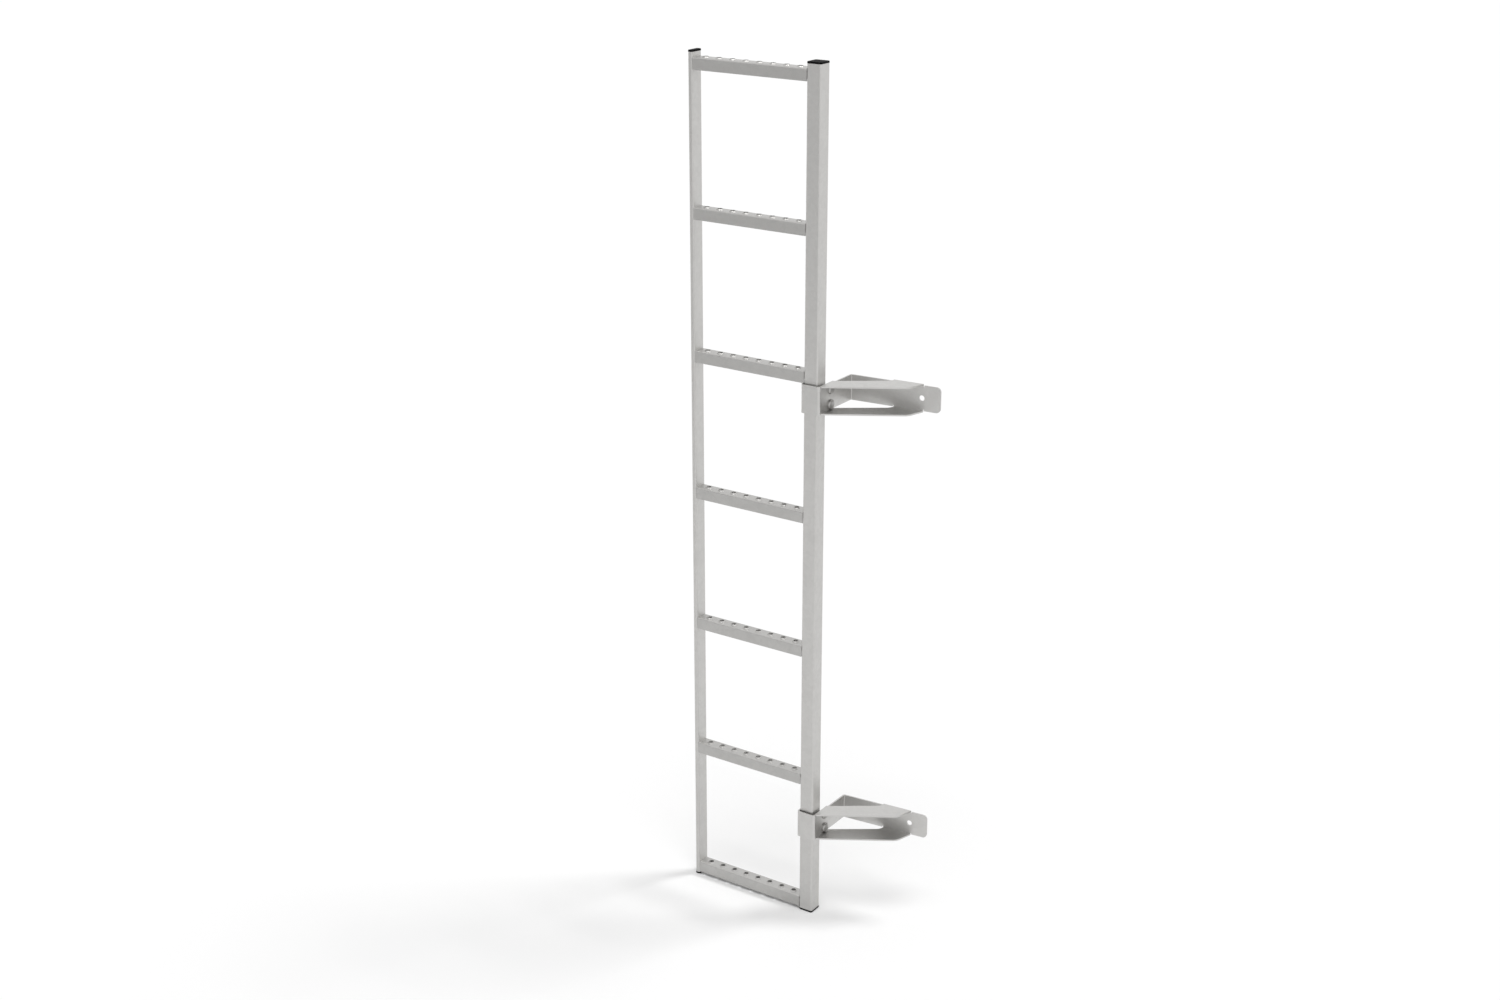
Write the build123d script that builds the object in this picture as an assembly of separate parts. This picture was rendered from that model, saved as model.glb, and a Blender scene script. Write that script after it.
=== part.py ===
from build123d import *
import os
from math import atan, cos, radians, sin, tan

os.makedirs("parts", exist_ok=True)

# Side-mounted boarding ladder: two unlike steel rails with seven perforated rungs, held on its
# thicker rail by two clamp brackets.
# Working frame while building: X along the rungs from the outer face of the thin rail, Y back
# from the front faces of the rails, Z up from the undersides of the feet, all in millimetres.
# Every piece is then moved so that the origin is the upper bracket's bolt hole, on the face
# that lies against the wall.

# ---------------------------------------------------------------- ladder
RUNG_COUNT = 7
RUNG_PITCH = 280.0
RUNG_LENGTH = 250.0          # clear width between the rails
RUNG_HEIGHT = 23.0
RUNG_DEPTH = 27.0
RUNG_WALL = 1.5
RUNG_BEND_R = 2.5            # outside radius of the rung's two folds

RAIL_DEPTH = 30.0
RAIL_CORNER_R = 3.0
THIN_RAIL_WIDTH = 10.0
THIN_RAIL_WALL = 1.5
MAIN_RAIL_WIDTH = 30.0
MAIN_RAIL_WALL = 2.0

RAIL_BELOW_RUNGS = 2.9       # rail end below the bottom rung's lower edges
RAIL_ABOVE_RUNGS = 9.1       # rail end above the top rung's tread

# Raised grip holes along each tread
GRIP_COUNT = 8
GRIP_PITCH = 29.5
GRIP_HOLE_R = 4.8
GRIP_RIM_R = 5.6
GRIP_BASE_R = 7.0
GRIP_HEIGHT = 1.8

# Plastic end caps
CAP_THICKNESS = 3.5
CAP_OVERHANG = 0.4
CAP_EDGE = 0.8
CAP_PLUG_DEPTH = 14.0
CAP_PLUG_WALL = 1.6
CAP_PLUG_CLEARANCE = 0.1

# ---------------------------------------------------------------- brackets
SHEET = 3.0
LOWER_RISE = 170.5           # bottom tread to the mid-height of the lower bracket
BRACKET_HEIGHT = 56.0        # over the outsides of the two arms, and of the sleeve
STOP_GAP = 0.5               # upper sleeve to the underside of the third rung
STOP_RUNG = 3                # counted from the top
FOLD_R = 2.0                 # inside radius of the sheet folds

# Sleeve round the main rail
SLEEVE_GAP_FRONT = 2.5
SLEEVE_GAP_INNER = 0.6
SLEEVE_GAP_OUTER = 4.5
SLEEVE_BACK = 16.0           # inner plate past the back of the rail
SLEEVE_LIP_FLAT = 0.2        # flat of the outer lip behind its fold
SLEEVE_CORNER_R = 6.0
SEAM_GAP = 0.3               # weld seam between the sleeve's lip and the side plate

# Side plate and wall plate
STANDOFF = 109.5             # front of the rails to the wall plate, at the fold
WALL_ANGLE = 5.0             # wall plate against the line of the rungs
WALL_LENGTH = 186.0
TAB_CORNER_R = 9.0
WALL_HOLE_R = 5.5
WALL_HOLE_AT = 147.5         # along the wall plate from the fold

# Arms: the top and bottom plates that brace the wall plate to the sleeve
ARM_FRONT_SLOPE = 0.615
ARM_FRONT_START = 1.5        # Y where the front edge leaves the side plate
ARM_BACK_SLOPE = 0.69
ARM_BACK_START = 46.3        # Y where the back edge leaves the side plate
ARM_WALL_FROM = 89.5         # along the wall plate, the stretch that the arms are folded from
ARM_WALL_TO = 150.0
ARM_ELBOW_AT = 138.5         # X of the elbow in the front edge, from the side plate
ARM_ELBOW_R = 22.0
ARM_THROAT_R = 17.0
RELIEF_WIDTH = 2.0
RELIEF_DEPTH = 3.0

# Clamp bolts, M8 cup-head, behind the rail
BOLT_R = 4.0
BOLT_HOLE_R = 4.5
BOLT_RAIL_GAP = 1.0
BOLT_HEAD_GAP = 0.5          # cup head to the arm above or below it
BOLT_HEAD_R = 9.5
BOLT_HEAD_HEIGHT = 4.5
BOLT_HEAD_RIM = 1.0
BOLT_NECK = 8.0              # square neck, side
NECK_HOLE = 8.4
BOLT_TAIL = 2.6              # thread showing past the nut
WASHER_R = 8.0
WASHER_HOLE_R = 4.2
WASHER_THICKNESS = 1.6
NUT_ACROSS_FLATS = 13.0
NUT_HEIGHT = 6.5
THREAD_GAP = 0.05

# ---------------------------------------------------------------- derived
MAIN_RAIL_X = THIN_RAIL_WIDTH + RUNG_LENGTH
RAIL_FOOT = CAP_THICKNESS
BOTTOM_TREAD = RAIL_FOOT + RAIL_BELOW_RUNGS + RUNG_HEIGHT
TOP_TREAD = BOTTOM_TREAD + (RUNG_COUNT - 1) * RUNG_PITCH
RAIL_HEAD = TOP_TREAD + RAIL_ABOVE_RUNGS
RAIL_LENGTH = RAIL_HEAD - RAIL_FOOT

STOP_UNDERSIDE = TOP_TREAD - (STOP_RUNG - 1) * RUNG_PITCH - RUNG_HEIGHT
UPPER_Z = STOP_UNDERSIDE - STOP_GAP - BRACKET_HEIGHT / 2
LOWER_Z = BOTTOM_TREAD + LOWER_RISE

SIDE_X = MAIN_RAIL_X + MAIN_RAIL_WIDTH + SLEEVE_GAP_OUTER
SIDE_FACE_X = SIDE_X + SHEET
SLEEVE_X = MAIN_RAIL_X - SLEEVE_GAP_INNER - SHEET
SLEEVE_Y = -SLEEVE_GAP_FRONT - SHEET
SLEEVE_LIP_END = SLEEVE_Y + SHEET + FOLD_R + SLEEVE_LIP_FLAT
SIDE_FRONT_Y = SLEEVE_LIP_END + SEAM_GAP
PLATE_HALF = BRACKET_HEIGHT / 2 - SHEET
BOLT_SPREAD = 2 * (PLATE_HALF - BOLT_HEAD_R - BOLT_HEAD_GAP)
BOLT_Y = RAIL_DEPTH + BOLT_RAIL_GAP + BOLT_R

WALL_ALONG = Vector(cos(radians(WALL_ANGLE)), sin(radians(WALL_ANGLE)), 0)
WALL_BACK = Vector(-sin(radians(WALL_ANGLE)), cos(radians(WALL_ANGLE)), 0)


def on_wall(along, depth=0.0):
    """Point on the wall plate, from the inside of its fold; depth 0 is its front face."""
    return Vector(SIDE_FACE_X, STANDOFF, 0) + WALL_ALONG * along + WALL_BACK * depth


ORIGIN = on_wall(WALL_HOLE_AT, SHEET) + Vector(0, 0, UPPER_Z)


def save(shape, node):
    export_step(Pos(-ORIGIN.X, -ORIGIN.Y, -ORIGIN.Z) * shape, f"parts/{node}.step")


def outline(points):
    return make_face(Polyline(*[Vector(point) for point in points], close=True))


def round_corners(face, corners, radius):
    """Round the corners of a flat outline nearest to the given points."""
    found = [face.vertices().sort_by_distance(Vector(corner))[0] for corner in corners]
    return fillet(found, radius)


# ---------------------------------------------------------------- rails and caps
def rail(width, wall):
    outer = RectangleRounded(width, RAIL_DEPTH, RAIL_CORNER_R)
    inner = RectangleRounded(width - 2 * wall, RAIL_DEPTH - 2 * wall, RAIL_CORNER_R - wall)
    return Pos(width / 2, RAIL_DEPTH / 2, RAIL_FOOT) * extrude(outer - inner, RAIL_LENGTH)


def cap(width, wall):
    """End cap standing on z = 0 with its plug pointing up."""
    head = extrude(
        RectangleRounded(width + 2 * CAP_OVERHANG, RAIL_DEPTH + 2 * CAP_OVERHANG,
                         RAIL_CORNER_R + CAP_OVERHANG),
        CAP_THICKNESS,
    )
    head = chamfer(head.faces().sort_by(Axis.Z)[0].edges(), CAP_EDGE)
    plug_inset = 2 * (wall + CAP_PLUG_CLEARANCE)
    plug_w = width - plug_inset
    plug_d = RAIL_DEPTH - plug_inset
    plug_r = RAIL_CORNER_R - wall
    plug = RectangleRounded(plug_w, plug_d, plug_r)
    plug -= Rectangle(plug_w - 2 * CAP_PLUG_WALL, plug_d - 2 * CAP_PLUG_WALL)
    return head + Pos(0, 0, CAP_THICKNESS) * extrude(plug, CAP_PLUG_DEPTH)


def save_rail_set(side, x, width, wall):
    save(Pos(x, 0, 0) * rail(width, wall), f"{side}_rail")
    centre = Pos(x + width / 2, RAIL_DEPTH / 2, 0)
    foot = cap(width, wall)
    save(centre * foot, f"{side}_foot_cap")
    save(centre * Pos(0, 0, RAIL_HEAD + CAP_THICKNESS) * Rot(180, 0, 0) * foot,
         f"{side}_top_cap")


save_rail_set("thin", 0, THIN_RAIL_WIDTH, THIN_RAIL_WALL)
save_rail_set("main", MAIN_RAIL_X, MAIN_RAIL_WIDTH, MAIN_RAIL_WALL)


# ---------------------------------------------------------------- rungs
def rung_bar(depth, height, radius):
    """Solid bar between the rails with its two upper edges rounded, its top at z = 0."""
    bar = Pos(RUNG_LENGTH / 2, RUNG_DEPTH / 2, -height / 2) * Box(RUNG_LENGTH, depth, height)
    return fillet(bar.faces().sort_by(Axis.Z)[-1].edges().filter_by(Axis.X), radius)


def rung():
    """Folded channel, open underneath, with raised grip holes in its tread."""
    inside = rung_bar(RUNG_DEPTH - 2 * RUNG_WALL, RUNG_HEIGHT, RUNG_BEND_R - RUNG_WALL)
    body = rung_bar(RUNG_DEPTH, RUNG_HEIGHT, RUNG_BEND_R) - Pos(0, 0, -RUNG_WALL) * inside
    row = [
        Pos(RUNG_LENGTH / 2 + (i - (GRIP_COUNT - 1) / 2) * GRIP_PITCH, RUNG_DEPTH / 2, 0)
        for i in range(GRIP_COUNT)
    ]
    rim_z = (GRIP_HEIGHT - RUNG_WALL) / 2
    rim_h = GRIP_HEIGHT + RUNG_WALL
    for place in row:
        body += place * Pos(0, 0, GRIP_HEIGHT / 2) * Cone(GRIP_BASE_R, GRIP_RIM_R, GRIP_HEIGHT)
    for place in row:
        body -= place * Pos(0, 0, rim_z) * Cylinder(GRIP_HOLE_R, rim_h)
    return body


RUNG = rung()
for number in range(1, RUNG_COUNT + 1):
    tread = TOP_TREAD - (number - 1) * RUNG_PITCH
    save(Pos(THIN_RAIL_WIDTH, 0, tread) * RUNG, f"rung_{number}")


# ---------------------------------------------------------------- bracket plate
def wall_strip():
    """Side plate and wall plate, folded from one strip."""
    fold_in = on_wall(0)
    reach = (SIDE_X - on_wall(0, SHEET).X) / WALL_ALONG.X
    fold_out = on_wall(reach, SHEET)
    face = outline([
        (SIDE_X, SIDE_FRONT_Y),
        (SIDE_FACE_X, SIDE_FRONT_Y),
        fold_in,
        on_wall(WALL_LENGTH),
        on_wall(WALL_LENGTH, SHEET),
        fold_out,
    ])
    face = round_corners(face, [fold_in], FOLD_R)
    face = round_corners(face, [fold_out], FOLD_R + SHEET)
    strip = extrude(Pos(0, 0, -PLATE_HALF) * face, 2 * PLATE_HALF)
    across = strip.edges().filter_by(Axis((0, 0, 0), WALL_BACK))
    return fillet(across.sort_by(Axis.X)[-2:], TAB_CORNER_R)


def arm():
    """One brace, as a flat plate on z = 0."""
    elbow_y = ARM_FRONT_START + ARM_FRONT_SLOPE * ARM_ELBOW_AT
    elbow = (SIDE_FACE_X + ARM_ELBOW_AT, elbow_y)
    throat_foot = on_wall(ARM_WALL_FROM)
    throat_y = ARM_BACK_START + ARM_BACK_SLOPE * (throat_foot.X - SIDE_FACE_X)
    throat = (throat_foot.X, throat_y)
    start = (SIDE_FACE_X, ARM_BACK_START)
    half_turn = (radians(90) - atan(ARM_BACK_SLOPE)) / 2
    largest_round = 0.99 * (throat_foot.Y - throat_y) / tan(half_turn)
    face = outline([
        (SIDE_X, SIDE_FRONT_Y),
        (SIDE_FACE_X, SIDE_FRONT_Y),
        (SIDE_FACE_X, ARM_FRONT_START),
        elbow,
        on_wall(ARM_WALL_TO),
        on_wall(ARM_WALL_TO, SHEET),
        on_wall(ARM_WALL_FROM, SHEET),
        throat_foot,
        throat,
        start,
        (SIDE_X, ARM_BACK_START),
    ])
    face = round_corners(face, [elbow], ARM_ELBOW_R)
    face = round_corners(face, [throat], min(ARM_THROAT_R, largest_round))
    face = round_corners(face, [start], SHEET)
    return extrude(face, SHEET)


def reliefs():
    """Bend reliefs beside the ends of the folds, in the wall plate's edges."""
    cuts = []
    for along in (ARM_WALL_FROM - RELIEF_WIDTH / 2, ARM_WALL_TO + RELIEF_WIDTH / 2):
        middle = on_wall(along, SHEET / 2)
        for side in (-1, 1):
            z = side * (PLATE_HALF - RELIEF_DEPTH / 2)
            slot = Box(RELIEF_WIDTH, 2 * SHEET, RELIEF_DEPTH)
            cuts.append(Pos(middle.X, middle.Y, z) * Rot(0, 0, WALL_ANGLE) * slot)
    return cuts


def bracket_plate():
    plate = wall_strip()
    brace = arm()
    fold_edges = brace.edges().filter_by(Axis((0, 0, 0), WALL_ALONG))
    outer_top = fold_edges.filter_by_position(Axis.Z, SHEET / 2, 2 * SHEET).sort_by(Axis.Y)[-1]
    brace = fillet([outer_top], SHEET * 0.8)
    upper = Pos(0, 0, PLATE_HALF) * brace
    plate += upper
    plate += mirror(upper, Plane.XY)
    for cut in reliefs():
        plate -= cut
    hole = on_wall(WALL_HOLE_AT, SHEET / 2)
    plate -= Pos(hole.X, hole.Y, 0) * Rot(0, 0, WALL_ANGLE) * Rot(90, 0, 0) * Cylinder(
        WALL_HOLE_R, 3 * SHEET)
    for z in (-BOLT_SPREAD / 2, BOLT_SPREAD / 2):
        plate -= Pos(SIDE_X + SHEET / 2, BOLT_Y, z) * Box(3 * SHEET, NECK_HOLE, NECK_HOLE)
    return plate


# ---------------------------------------------------------------- sleeve and clamp bolts
def sleeve():
    """Strap folded round the front of the main rail."""
    back = RAIL_DEPTH + SLEEVE_BACK
    outer = [(SLEEVE_X, SLEEVE_Y), (SIDE_FACE_X, SLEEVE_Y)]
    inner = [(SLEEVE_X + SHEET, SLEEVE_Y + SHEET), (SIDE_X, SLEEVE_Y + SHEET)]
    face = outline([
        (SLEEVE_X, back), outer[0], outer[1],
        (SIDE_FACE_X, SLEEVE_LIP_END), (SIDE_X, SLEEVE_LIP_END),
        inner[1], inner[0], (SLEEVE_X + SHEET, back),
    ])
    face = round_corners(face, outer, FOLD_R + SHEET)
    face = round_corners(face, inner, FOLD_R)
    strap = extrude(Pos(0, 0, -BRACKET_HEIGHT / 2) * face, BRACKET_HEIGHT)
    across = strap.edges().filter_by(Axis.X).filter_by_position(Axis.Y, back - 0.1, back + 0.1)
    strap = fillet(across, SLEEVE_CORNER_R)
    for z in (-BOLT_SPREAD / 2, BOLT_SPREAD / 2):
        strap -= Pos(SLEEVE_X, BOLT_Y, z) * Rot(0, 90, 0) * Cylinder(BOLT_HOLE_R, 3 * SHEET)
    return strap


WASHER_X = SLEEVE_X - WASHER_THICKNESS
NUT_X = WASHER_X - NUT_HEIGHT
TAIL_X = NUT_X - BOLT_TAIL


def along_x(x, solid):
    """Stand a solid built on +Z at x, pointing along +X, on the axis of a clamp bolt."""
    return Pos(x, BOLT_Y, 0) * Rot(0, 90, 0) * solid


def bolt():
    head = extrude(Circle(BOLT_HEAD_R), BOLT_HEAD_HEIGHT)
    dome = BOLT_HEAD_HEIGHT - BOLT_HEAD_RIM
    head = fillet(head.faces().sort_by(Axis.Z)[-1].edges(), dome)
    shank = extrude(Circle(BOLT_R), SIDE_FACE_X - TAIL_X)
    shank = chamfer(shank.faces().sort_by(Axis.Z)[0].edges(), BOLT_R * 0.2)
    neck = extrude(Rectangle(BOLT_NECK, BOLT_NECK), SHEET)
    return along_x(SIDE_FACE_X, head) + along_x(SIDE_X, neck) + along_x(TAIL_X, shank)


def washer():
    return along_x(WASHER_X, extrude(Circle(WASHER_R) - Circle(WASHER_HOLE_R), WASHER_THICKNESS))


def nut():
    flats = RegularPolygon(NUT_ACROSS_FLATS / 2, 6, major_radius=False)
    return along_x(NUT_X, extrude(flats - Circle(BOLT_R + THREAD_GAP), NUT_HEIGHT))


def pair(solid, z):
    """Two equal fasteners of one bracket, above and below its middle."""
    return Compound([Pos(0, 0, z + side * BOLT_SPREAD / 2) * solid for side in (-1, 1)])


PLATE = bracket_plate()
SLEEVE = sleeve()
BOLT = bolt()
WASHER = washer()
NUT = nut()
for level, height in (("upper", UPPER_Z), ("lower", LOWER_Z)):
    save(Pos(0, 0, height) * PLATE, f"{level}_bracket_plate")
    save(Pos(0, 0, height) * SLEEVE, f"{level}_sleeve")
    save(pair(BOLT, height), f"{level}_clamp_bolts")
    save(pair(WASHER, height), f"{level}_clamp_washers")
    save(pair(NUT, height), f"{level}_clamp_nuts")
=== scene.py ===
"""Finishes and studio for a side-mounted boarding ladder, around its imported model.

Everything is in metres. The origin is the upper bracket's wall hole, +X runs along the rungs
towards the brackets, +Y to the back and +Z up.
"""

import math

import bpy
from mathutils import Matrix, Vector


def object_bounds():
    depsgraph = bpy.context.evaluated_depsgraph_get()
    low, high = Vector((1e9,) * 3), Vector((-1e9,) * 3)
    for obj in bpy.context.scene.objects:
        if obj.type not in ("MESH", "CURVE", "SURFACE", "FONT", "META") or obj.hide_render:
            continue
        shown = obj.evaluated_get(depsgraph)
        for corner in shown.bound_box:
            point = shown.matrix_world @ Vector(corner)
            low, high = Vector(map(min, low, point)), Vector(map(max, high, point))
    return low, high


bl_info = {
    "name": "Boarding Ladder Finishes",
    "version": (1, 0, 0),
    "blender": (4, 5, 0),
    "location": "View3D > Sidebar > Ladder",
    "description": "Gives a galvanised boarding ladder its finishes and a white studio",
    "category": "Object",
}

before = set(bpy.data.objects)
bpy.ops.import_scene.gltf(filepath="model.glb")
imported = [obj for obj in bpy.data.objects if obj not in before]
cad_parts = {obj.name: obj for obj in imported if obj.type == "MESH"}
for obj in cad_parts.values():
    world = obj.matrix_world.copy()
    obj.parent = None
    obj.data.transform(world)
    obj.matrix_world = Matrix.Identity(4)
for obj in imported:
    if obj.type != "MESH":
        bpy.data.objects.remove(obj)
CAD_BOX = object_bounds()

MM = 0.001
RAILS = ("main_rail", "thin_rail")
RUNGS = tuple(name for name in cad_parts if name.startswith("rung_"))
PLATES = ("upper_bracket_plate", "lower_bracket_plate")
SLEEVES = ("upper_sleeve", "lower_sleeve")
CAPS = tuple(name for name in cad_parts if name.endswith("_cap"))
FASTENERS = tuple(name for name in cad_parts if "_clamp_" in name)

# Galvanised steel: its roughness, and how strongly the zinc's fine grain shows in the gloss.
ROLLED_ROUGHNESS = 0.42
ROLLED_RELIEF = 0.10
PLATE_ROUGHNESS = 0.34
PLATE_RELIEF = 0.60
# What the dullest and the brightest crystals add to that roughness.
DULLEST_CRYSTAL = 0.08
BRIGHTEST_CRYSTAL = -0.04
# The share of the mottle that comes from the clouds; the crystals make the rest.
CLOUD_SHARE = 0.6
CLOUD_DETAIL = 3.0
# Depth of the zinc's grain as a share of its width.
GRAIN_DEPTH = 0.15
FINE_DETAIL = 2.0

# Zinc plate on the fasteners: its roughness varies from forging mark to forging mark.
SMOOTHEST_PLATING = 0.28
ROUGHEST_PLATING = 0.40
FORGING_MARK = 1.5 * MM

# Polyethylene caps: a weak sheen over a shallow moulded grain.
CAP_ROUGHNESS = 0.6
CAP_SPECULAR = 0.04
CAP_GRAIN = 0.6 * MM
CAP_GRAIN_DEPTH = 0.05 * MM
CAP_RELIEF = 0.25

# Studio. The flag's way leads from the ladder to the front on the left, and the sensor's width
# is in millimetres.
FULL_WHITE = 1.0
FLOOR_SIDES = 64
FLAG_WAY = Vector((-0.52, -0.85, 0))
SENSOR_WIDTH = 36.0
VIEW_END = 500.0


# ---------------------------------------------------------------- shared helpers
def linear(hex_colour):
    """An sRGB hex colour such as "#B4B6B7" as linear RGBA."""
    values = [int(hex_colour[i:i + 2], 16) / 255 for i in (1, 3, 5)]
    return tuple(v / 12.92 if v <= 0.04045 else ((v + 0.055) / 1.055) ** 2.4 for v in values) + (1.0,)


def add_node(tree, kind, links=None, **settings):
    """Add a node, set its attributes and input values, and link its inputs."""
    node = tree.nodes.new(kind)
    for key, value in settings.items():
        if hasattr(node, key):
            setattr(node, key, value)
        else:
            node.inputs[key.replace("_", " ")].default_value = value
    for key, source in (links or {}).items():
        tree.links.new(source, node.inputs[key])
    return node


def new_material(name):
    """An empty node material and its tree."""
    material = bpy.data.materials.new(name)
    material.use_nodes = True
    material.node_tree.nodes.clear()
    return material, material.node_tree


def strength_by_ray(tree, unseen, seen):
    """One strength where a surface is seen or mirrored, and another where it only gives light."""
    ray = add_node(tree, "ShaderNodeLightPath").outputs
    looked_at = add_node(tree, "ShaderNodeMath",
                         {0: ray["Is Camera Ray"], 1: ray["Is Glossy Ray"]}, operation="MAXIMUM")
    looked_through = add_node(tree, "ShaderNodeMath",
                              {0: looked_at.outputs[0], 1: ray["Is Transmission Ray"]},
                              operation="MAXIMUM")
    strength = add_node(tree, "ShaderNodeMapRange", {"Value": looked_through.outputs[0]},
                        To_Min=unseen, To_Max=seen)
    return strength.outputs["Result"]


def give(nodes, material):
    """Put one material on every slot of the named CAD nodes."""
    for name in nodes:
        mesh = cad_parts[name].data
        if not mesh.materials:
            mesh.materials.append(material)
        for index in range(len(mesh.materials)):
            mesh.materials[index] = material


# ---------------------------------------------------------------- settings
class LadderFinish(bpy.types.PropertyGroup):
    """Colours and pattern sizes of the ladder's finishes"""

    tube_colour: bpy.props.FloatVectorProperty(
        name="Tube zinc", description="Colour of the zinc skin on the rails",
        subtype="COLOR", size=4, min=0, max=1, default=linear("#C9C8C6"))
    channel_colour: bpy.props.FloatVectorProperty(
        name="Channel zinc", description="Colour of the zinc skin on the rungs",
        subtype="COLOR", size=4, min=0, max=1, default=linear("#BBBAB8"))
    plate_colour: bpy.props.FloatVectorProperty(
        name="Plate zinc", description="Colour of the zinc skin on the brackets",
        subtype="COLOR", size=4, min=0, max=1, default=linear("#C8C7C5"))
    crystal_contrast: bpy.props.FloatProperty(
        name="Crystal contrast", description="How much darker the dullest zinc crystals are",
        default=0.09, min=0, max=1, subtype="FACTOR")
    spangle: bpy.props.FloatProperty(
        name="Spangle", description="Width of a zinc crystal", default=7 * MM, min=1 * MM,
        unit="LENGTH")
    cloud: bpy.props.FloatProperty(
        name="Clouding", description="Width of the soft patches in the zinc", default=38 * MM,
        min=5 * MM, unit="LENGTH")
    grain: bpy.props.FloatProperty(
        name="Grain", description="Width of a grain in the zinc's fine relief",
        default=2.5 * MM, min=0.5 * MM, unit="LENGTH")
    # The fasteners' zinc is a neutral grey, darker than the plates' zinc: the grey is the plating's
    # own, the extra darkness is painted shade for bolts that sit in the brackets' shade.
    zinc_colour: bpy.props.FloatVectorProperty(
        name="Zinc plate", description="Colour of the bright-plated fasteners",
        subtype="COLOR", size=4, min=0, max=1, default=linear("#ABAAA8"))
    plastic_colour: bpy.props.FloatVectorProperty(
        name="Black polyethylene", description="Colour of the moulded end caps",
        subtype="COLOR", size=4, min=0, max=1, default=linear("#0B0B0C"))


class LadderStudio(bpy.types.PropertyGroup):
    """Camera, lamps, floor and flag"""

    camera_place: bpy.props.FloatVectorProperty(
        name="Camera", description="Camera position from the upper wall hole",
        subtype="TRANSLATION", unit="LENGTH", default=(1.82463, -3.27557, 1.15941))
    camera_tilt: bpy.props.FloatProperty(
        name="Tilt", description="How far the camera looks down", subtype="ANGLE",
        default=math.radians(20.052))
    camera_pan: bpy.props.FloatProperty(
        name="Pan", description="How far the camera is turned to the left", subtype="ANGLE",
        default=math.radians(34.068))
    lens: bpy.props.FloatProperty(
        name="Lens", description="Focal length in millimetres on a 36 mm sensor", default=50.0,
        min=10, unit="CAMERA")
    surround: bpy.props.FloatProperty(
        name="Surround", description="Strength of the white surroundings", default=0.54, min=0)
    key_light: bpy.props.FloatProperty(
        name="Key light", description="Strength of the soft light high behind the brackets",
        default=1.0, min=0)
    key_softness: bpy.props.FloatProperty(
        name="Key softness", description="Width of the key light", subtype="ANGLE",
        default=math.radians(14))
    key_place: bpy.props.FloatVectorProperty(
        name="Key side", description="Where the key light comes from, behind on the right",
        subtype="XYZ", default=(0.62, 0.78, 1.75))
    top_light: bpy.props.FloatProperty(
        name="Top light", description="Strength of the soft light overhead",
        default=0.8, min=0)
    top_softness: bpy.props.FloatProperty(
        name="Top softness", description="Width of the top light", subtype="ANGLE",
        default=math.radians(24))
    top_place: bpy.props.FloatVectorProperty(
        name="Top side", description="Where the top light comes from, a little in front",
        subtype="XYZ", default=(0.12, -0.24, 0.96))
    floor_colour: bpy.props.FloatVectorProperty(
        name="Floor paint", description="Colour of the matt floor", subtype="COLOR", size=4,
        min=0, max=1, default=linear("#F2F2F2"))
    floor_glow: bpy.props.FloatProperty(
        name="Floor glow", description="What is added to the lit floor where it is seen or mirrored",
        default=0.07, min=0)
    floor_radius: bpy.props.FloatProperty(
        name="Floor", description="Radius of the white floor", default=60.0, min=5, unit="LENGTH")
    flag_colour: bpy.props.FloatVectorProperty(
        name="Flag", description="Colour of the flag that the metal mirrors", subtype="COLOR",
        size=4, min=0, max=1, default=linear("#DADADA"))
    flag_width: bpy.props.FloatProperty(
        name="Flag width", description="Width of the flag", default=5.0, min=0.1, unit="LENGTH")
    flag_height: bpy.props.FloatProperty(
        name="Flag height", description="Height of the flag", default=2.4, min=0.1, unit="LENGTH")
    flag_distance: bpy.props.FloatProperty(
        name="Flag distance", description="How far the flag stands from the ladder", default=4.0,
        min=0.5, unit="LENGTH")


# ---------------------------------------------------------------- materials
def galvanised_steel(finish, name, zinc, roughness, relief):
    """Hot-dip galvanised steel, its zinc skin weathered to a satin grey.

    The eye sees a pale, even grey with faint soft crystals in two close greys, a little duller
    in some than in others, and no sharp reflections.
    """
    material, tree = new_material(name)
    place = add_node(tree, "ShaderNodeTexCoord").outputs["Object"]
    # Zinc crystals: flat-toned cells, each with its own grey, under wider soft clouds.
    crystal = add_node(tree, "ShaderNodeTexVoronoi", {"Vector": place}, Scale=1 / finish.spangle)
    tone = add_node(tree, "ShaderNodeSeparateColor", {"Color": crystal.outputs["Color"]})
    cloud = add_node(tree, "ShaderNodeTexNoise", {"Vector": place}, Scale=1 / finish.cloud,
                     Detail=CLOUD_DETAIL)
    blend = add_node(tree, "ShaderNodeMix", {"A": tone.outputs["Red"], "B": cloud.outputs["Fac"]},
                     Factor=CLOUD_SHARE)
    colour = add_node(tree, "ShaderNodeMix", {"Factor": blend.outputs["Result"]},
                      data_type="RGBA")
    dull = [channel * (1 - finish.crystal_contrast) for channel in zinc[:3]]
    colour.inputs["A"].default_value = dull + [1.0]
    colour.inputs["B"].default_value = zinc
    # Duller crystals scatter a little more light.
    dullness = add_node(tree, "ShaderNodeMapRange", {"Value": blend.outputs["Result"]},
                        To_Min=roughness + DULLEST_CRYSTAL, To_Max=roughness + BRIGHTEST_CRYSTAL)
    # Zinc grain breaks up the mirrored shapes without showing on an evenly lit face. It is
    # drawn coarser than the real one, which would be too fine to show.
    grit = add_node(tree, "ShaderNodeTexNoise", {"Vector": place}, Scale=1 / finish.grain,
                    Detail=FINE_DETAIL)
    grain = add_node(tree, "ShaderNodeBump", {"Height": grit.outputs["Fac"]}, Strength=relief,
                     Distance=GRAIN_DEPTH * finish.grain)
    shader = add_node(tree, "ShaderNodeBsdfPrincipled",
                      {"Base Color": colour.outputs["Result"], "Roughness": dullness.outputs["Result"],
                       "Normal": grain.outputs["Normal"]}, Metallic=1.0)
    add_node(tree, "ShaderNodeOutputMaterial", {"Surface": shader.outputs["BSDF"]})
    return material


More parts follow.
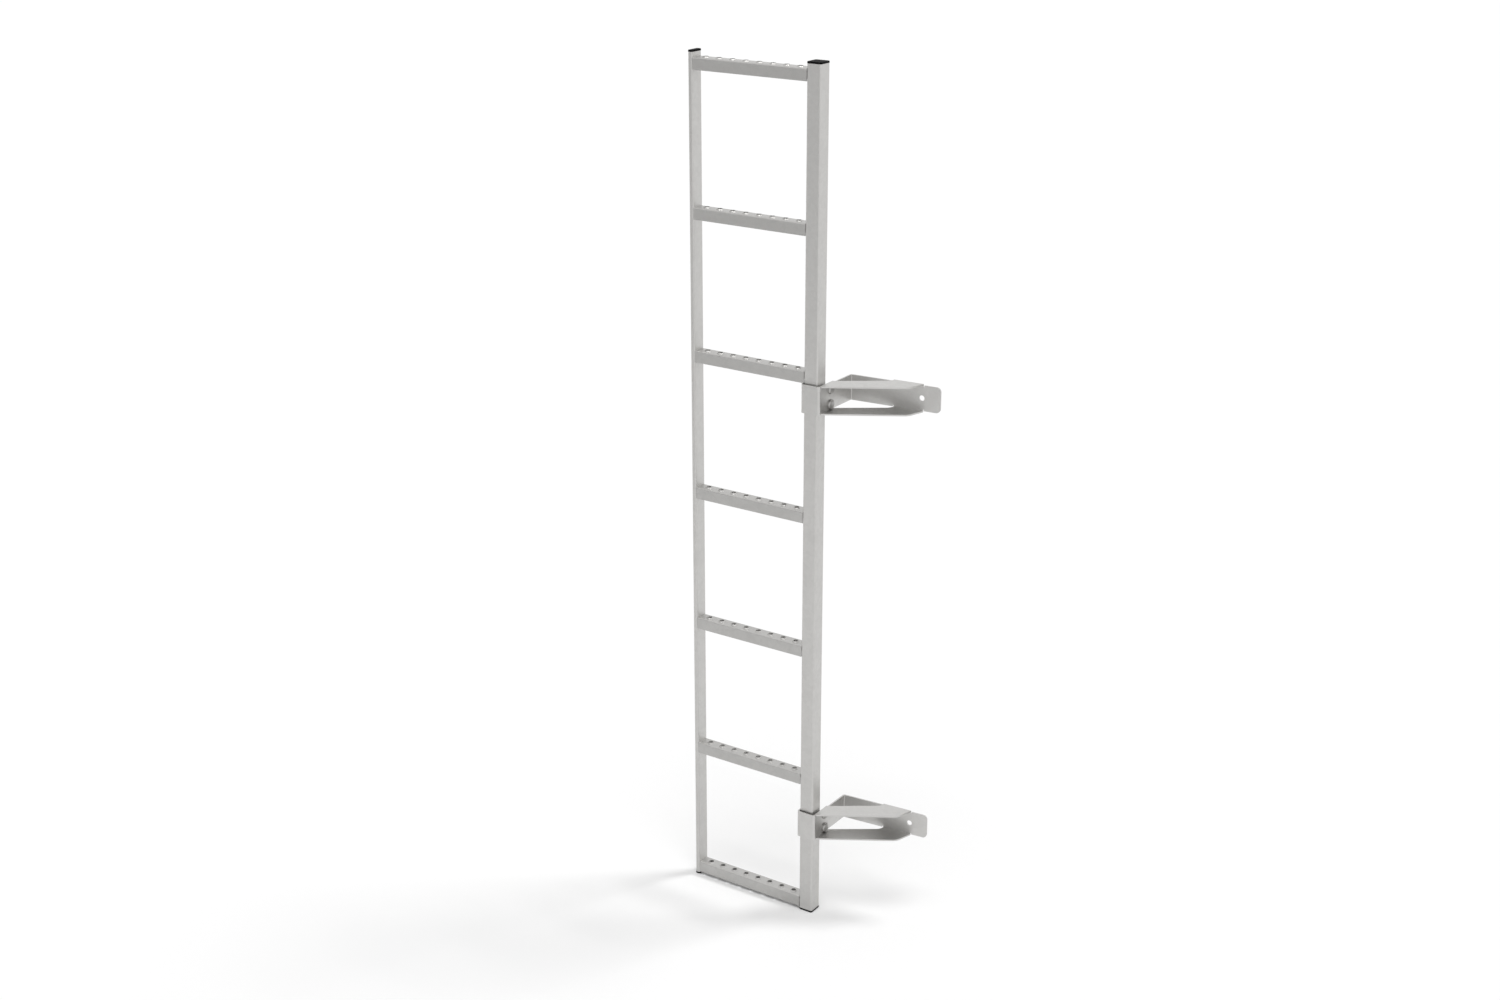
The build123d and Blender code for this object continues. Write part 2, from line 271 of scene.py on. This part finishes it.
def plated_zinc(finish):
    """Electroplated zinc on forged steel.

    The eye sees metal that is smoother and more glossy than the dipped plates, with small
    forging marks in the gloss.
    """
    material, tree = new_material("electroplated zinc on forged steel")
    place = add_node(tree, "ShaderNodeTexCoord").outputs["Object"]
    marks = add_node(tree, "ShaderNodeTexNoise", {"Vector": place}, Scale=1 / FORGING_MARK,
                     Detail=FINE_DETAIL)
    dullness = add_node(tree, "ShaderNodeMapRange", {"Value": marks.outputs["Fac"]},
                        To_Min=SMOOTHEST_PLATING, To_Max=ROUGHEST_PLATING)
    # The base grey from zinc_colour carries painted shade: it is set darker than bright plated zinc,
    # to the tone of bolts seen in the brackets' shade.
    shader = add_node(tree, "ShaderNodeBsdfPrincipled",
                      {"Roughness": dullness.outputs["Result"]},
                      Base_Color=finish.zinc_colour, Metallic=1.0)
    add_node(tree, "ShaderNodeOutputMaterial", {"Surface": shader.outputs["BSDF"]})
    return material


def black_polyethylene(finish):
    """Black polyethylene, injection-moulded with a fine spark-eroded grain.

    The eye sees a deep matte black with only a weak, wide sheen. The grain is drawn coarser
    than the real one, so that it shows close up.
    """
    material, tree = new_material("moulded black polyethylene")
    place = add_node(tree, "ShaderNodeTexCoord").outputs["Object"]
    grit = add_node(tree, "ShaderNodeTexNoise", {"Vector": place}, Scale=1 / CAP_GRAIN,
                    Detail=FINE_DETAIL)
    grain = add_node(tree, "ShaderNodeBump", {"Height": grit.outputs["Fac"]}, Strength=CAP_RELIEF,
                     Distance=CAP_GRAIN_DEPTH)
    shader = add_node(tree, "ShaderNodeBsdfPrincipled", {"Normal": grain.outputs["Normal"]},
                      Base_Color=finish.plastic_colour, Roughness=CAP_ROUGHNESS,
                      Specular_IOR_Level=CAP_SPECULAR)
    add_node(tree, "ShaderNodeOutputMaterial", {"Surface": shader.outputs["BSDF"]})
    return material


def floor_paint(studio):
    """Matt white floor paint: it takes the shadow and is lifted to white for the eye."""
    material, tree = new_material("matt white studio floor")
    paint = add_node(tree, "ShaderNodeBsdfDiffuse", Color=studio.floor_colour)
    glow = add_node(tree, "ShaderNodeEmission",
                    {"Strength": strength_by_ray(tree, 0.0, studio.floor_glow)})
    both = add_node(tree, "ShaderNodeAddShader", {0: paint.outputs[0], 1: glow.outputs[0]})
    add_node(tree, "ShaderNodeOutputMaterial", {"Surface": both.outputs[0]})
    return material


def flag_paint(studio):
    """Matt grey paint: an even, darker tone for the metal's front faces to mirror."""
    material, tree = new_material("matt grey flag")
    paint = add_node(tree, "ShaderNodeBsdfDiffuse", Color=studio.flag_colour)
    add_node(tree, "ShaderNodeOutputMaterial", {"Surface": paint.outputs[0]})
    return material


# ---------------------------------------------------------------- operators
class LADDER_OT_rails(bpy.types.Operator):
    """Finish both rails as galvanised tube"""

    bl_idname = "ladder.rails"
    bl_label = "Rails"

    def execute(self, context):
        finish = context.scene.ladder_finish
        give(RAILS, galvanised_steel(finish, "galvanised rectangular steel tube",
                                     finish.tube_colour, ROLLED_ROUGHNESS, ROLLED_RELIEF))
        return {"FINISHED"}


class LADDER_OT_rungs(bpy.types.Operator):
    """Finish the rungs as folded galvanised sheet"""

    bl_idname = "ladder.rungs"
    bl_label = "Rungs"

    def execute(self, context):
        finish = context.scene.ladder_finish
        give(RUNGS, galvanised_steel(finish, "galvanised folded steel channel",
                                     finish.channel_colour, ROLLED_ROUGHNESS, ROLLED_RELIEF))
        return {"FINISHED"}


class LADDER_OT_brackets(bpy.types.Operator):
    """Finish the bracket plates and sleeves as folded galvanised plate"""

    bl_idname = "ladder.brackets"
    bl_label = "Brackets"

    def execute(self, context):
        finish = context.scene.ladder_finish
        give(PLATES + SLEEVES, galvanised_steel(finish, "galvanised folded steel plate",
                                                finish.plate_colour, PLATE_ROUGHNESS, PLATE_RELIEF))
        return {"FINISHED"}


class LADDER_OT_fasteners(bpy.types.Operator):
    """Finish the clamp bolts, washers and nuts as bright zinc plate"""

    bl_idname = "ladder.fasteners"
    bl_label = "Clamp fasteners"

    def execute(self, context):
        give(FASTENERS, plated_zinc(context.scene.ladder_finish))
        return {"FINISHED"}


class LADDER_OT_caps(bpy.types.Operator):
    """Finish the end caps as moulded black polyethylene"""

    bl_idname = "ladder.caps"
    bl_label = "End caps"

    def execute(self, context):
        give(CAPS, black_polyethylene(context.scene.ladder_finish))
        return {"FINISHED"}


class LADDER_OT_stage(bpy.types.Operator):
    """Set up the white floor, surroundings, soft lamps, flag and camera"""

    bl_idname = "ladder.stage"
    bl_label = "Studio"

    def execute(self, context):
        studio = context.scene.ladder_studio
        low, high = CAD_BOX
        centre = (low + high) / 2
        floor = self.add_floor(studio, low.z)
        self.add_surroundings(context.scene, studio)
        self.add_light("key light", studio.key_light, studio.key_softness, studio.key_place)
        self.add_light("top light", studio.top_light, studio.top_softness, studio.top_place)
        flag = self.add_flag(studio, low.z, centre)
        self.add_camera(context.scene, studio)
        context.scene.view_settings.view_transform = "Standard"
        return {"FINISHED"}

    def add_floor(self, studio, height):
        """Wide round floor at the ladder's foot."""
        bpy.ops.mesh.primitive_circle_add(vertices=FLOOR_SIDES, radius=studio.floor_radius,
                                          fill_type="NGON", location=(0, 0, height))
        floor = bpy.context.object
        floor.name = "floor"
        floor.data.materials.append(floor_paint(studio))
        return floor

    def add_surroundings(self, scene, studio):
        """Even white room, a full white where it is seen or mirrored."""
        world = bpy.data.worlds.new("white studio")
        world.use_nodes = True
        tree = world.node_tree
        tree.nodes.clear()
        strength = strength_by_ray(tree, studio.surround, FULL_WHITE)
        light = add_node(tree, "ShaderNodeBackground", {"Strength": strength},
                         Color=linear("#FFFFFF"))
        add_node(tree, "ShaderNodeOutputWorld", {"Surface": light.outputs["Background"]})
        scene.world = world

    def add_light(self, name, strength, softness, place):
        """Soft light from one side of the room; softness is the angle that it fills."""
        data = bpy.data.lights.new(name, "SUN")
        data.energy = strength
        data.angle = softness
        light = bpy.data.objects.new(name, data)
        light.rotation_euler = place.to_track_quat("Z", "Y").to_euler()
        bpy.context.collection.objects.link(light)

    def add_flag(self, studio, height, centre):
        """Grey flag on the floor, in front on the left, which only the metal mirrors."""
        bpy.ops.mesh.primitive_plane_add(size=1)
        flag = bpy.context.object
        flag.name = "flag"
        flag.scale = (studio.flag_width, studio.flag_height, 1.0)
        foot = Vector((centre.x, centre.y, height)) + studio.flag_distance * FLAG_WAY
        flag.location = foot + Vector((0, 0, studio.flag_height / 2))
        flag.rotation_euler = (math.pi / 2, 0, math.atan2(-FLAG_WAY.x, FLAG_WAY.y))
        flag.visible_camera = False
        flag.visible_shadow = False
        flag.visible_diffuse = False
        flag.data.materials.append(flag_paint(studio))
        return flag

    def add_camera(self, scene, studio):
        """Camera in front on the right, a little above the ladder."""
        data = bpy.data.cameras.new("camera")
        data.lens = studio.lens
        data.sensor_width = SENSOR_WIDTH
        data.clip_end = VIEW_END
        camera = bpy.data.objects.new("camera", data)
        camera.location = studio.camera_place
        camera.rotation_euler = (math.pi / 2 - studio.camera_tilt, 0, studio.camera_pan)
        bpy.context.collection.objects.link(camera)
        scene.camera = camera


class LADDER_PT_panel(bpy.types.Panel):
    """Sidebar panel with the ladder's finishes and studio"""

    bl_idname = "LADDER_PT_panel"
    bl_label = "Boarding Ladder"
    bl_space_type = "VIEW_3D"
    bl_region_type = "UI"
    bl_category = "Ladder"

    def draw(self, context):
        for group in (context.scene.ladder_finish, context.scene.ladder_studio):
            for name in group.__annotations__:
                self.layout.prop(group, name)
        for operator in OPERATORS:
            self.layout.operator(operator.bl_idname)


OPERATORS = (LADDER_OT_rails, LADDER_OT_rungs, LADDER_OT_brackets, LADDER_OT_fasteners,
             LADDER_OT_caps, LADDER_OT_stage)
CLASSES = (LadderFinish, LadderStudio) + OPERATORS + (LADDER_PT_panel,)


def register():
    """Register the classes and put both groups of settings on the scene."""
    for cls in CLASSES:
        bpy.utils.register_class(cls)
    bpy.types.Scene.ladder_finish = bpy.props.PointerProperty(type=LadderFinish)
    bpy.types.Scene.ladder_studio = bpy.props.PointerProperty(type=LadderStudio)


def unregister():
    """Take the settings and the classes away again."""
    del bpy.types.Scene.ladder_studio
    del bpy.types.Scene.ladder_finish
    for cls in reversed(CLASSES):
        bpy.utils.unregister_class(cls)


def main():
    register()
    bpy.ops.ladder.rails()
    bpy.ops.ladder.rungs()
    bpy.ops.ladder.brackets()
    bpy.ops.ladder.fasteners()
    bpy.ops.ladder.caps()
    bpy.ops.ladder.stage()


if __name__ == "__main__":
    main()
